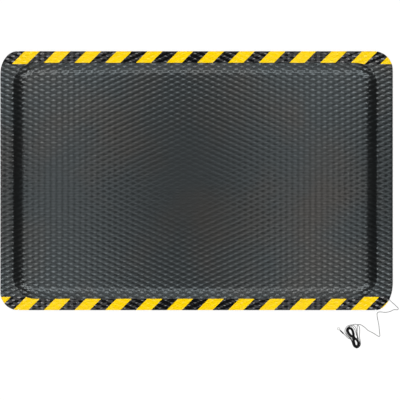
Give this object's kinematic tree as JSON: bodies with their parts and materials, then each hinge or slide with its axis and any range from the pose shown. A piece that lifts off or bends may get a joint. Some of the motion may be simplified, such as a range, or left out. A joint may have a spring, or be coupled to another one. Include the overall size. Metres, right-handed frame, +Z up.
{
  "type": "conductive floor mat",
  "caption": "Cushioned conductive rubber floor mat with a diamond tread, hazard borders along its long sides and a thin ground cord with a ring terminal.",
  "frame": {"origin": "centre of the mat's underside, on the floor", "axes": "+X along the long side to the right, +Y to the back, +Z up"},
  "size_m": [0.9285, 0.691, 0.0164],
  "materials": {
    "sheet_rubber": "satin black moulded rubber",
    "pad_sponge": "matt closed-cell sponge",
    "border_black": "glossy black",
    "border_yellow": "satin safety yellow",
    "stud_brass": "turned brass",
    "lug_tinned": "tinned metal",
    "cord_jacket": "thin black insulated wire",
    "sleeve_black": "black insulating sleeve"
  },
  "bodies": {
    "root": {"cover_sheet": "sheet_rubber", "cushion_core": "pad_sponge", "front_border_strip": "border_black", "back_border_strip": "border_black", "front_yellow_bars": "border_yellow", "back_yellow_bars": "border_yellow", "ground_stud": "stud_brass", "ground_lug": "lug_tinned", "ground_cord": "cord_jacket", "cord_hank": "cord_jacket", "cord_tail": "cord_jacket", "terminal_sleeve": "sleeve_black", "end_ring_terminal": "lug_tinned"}
  },
  "joints": []
}
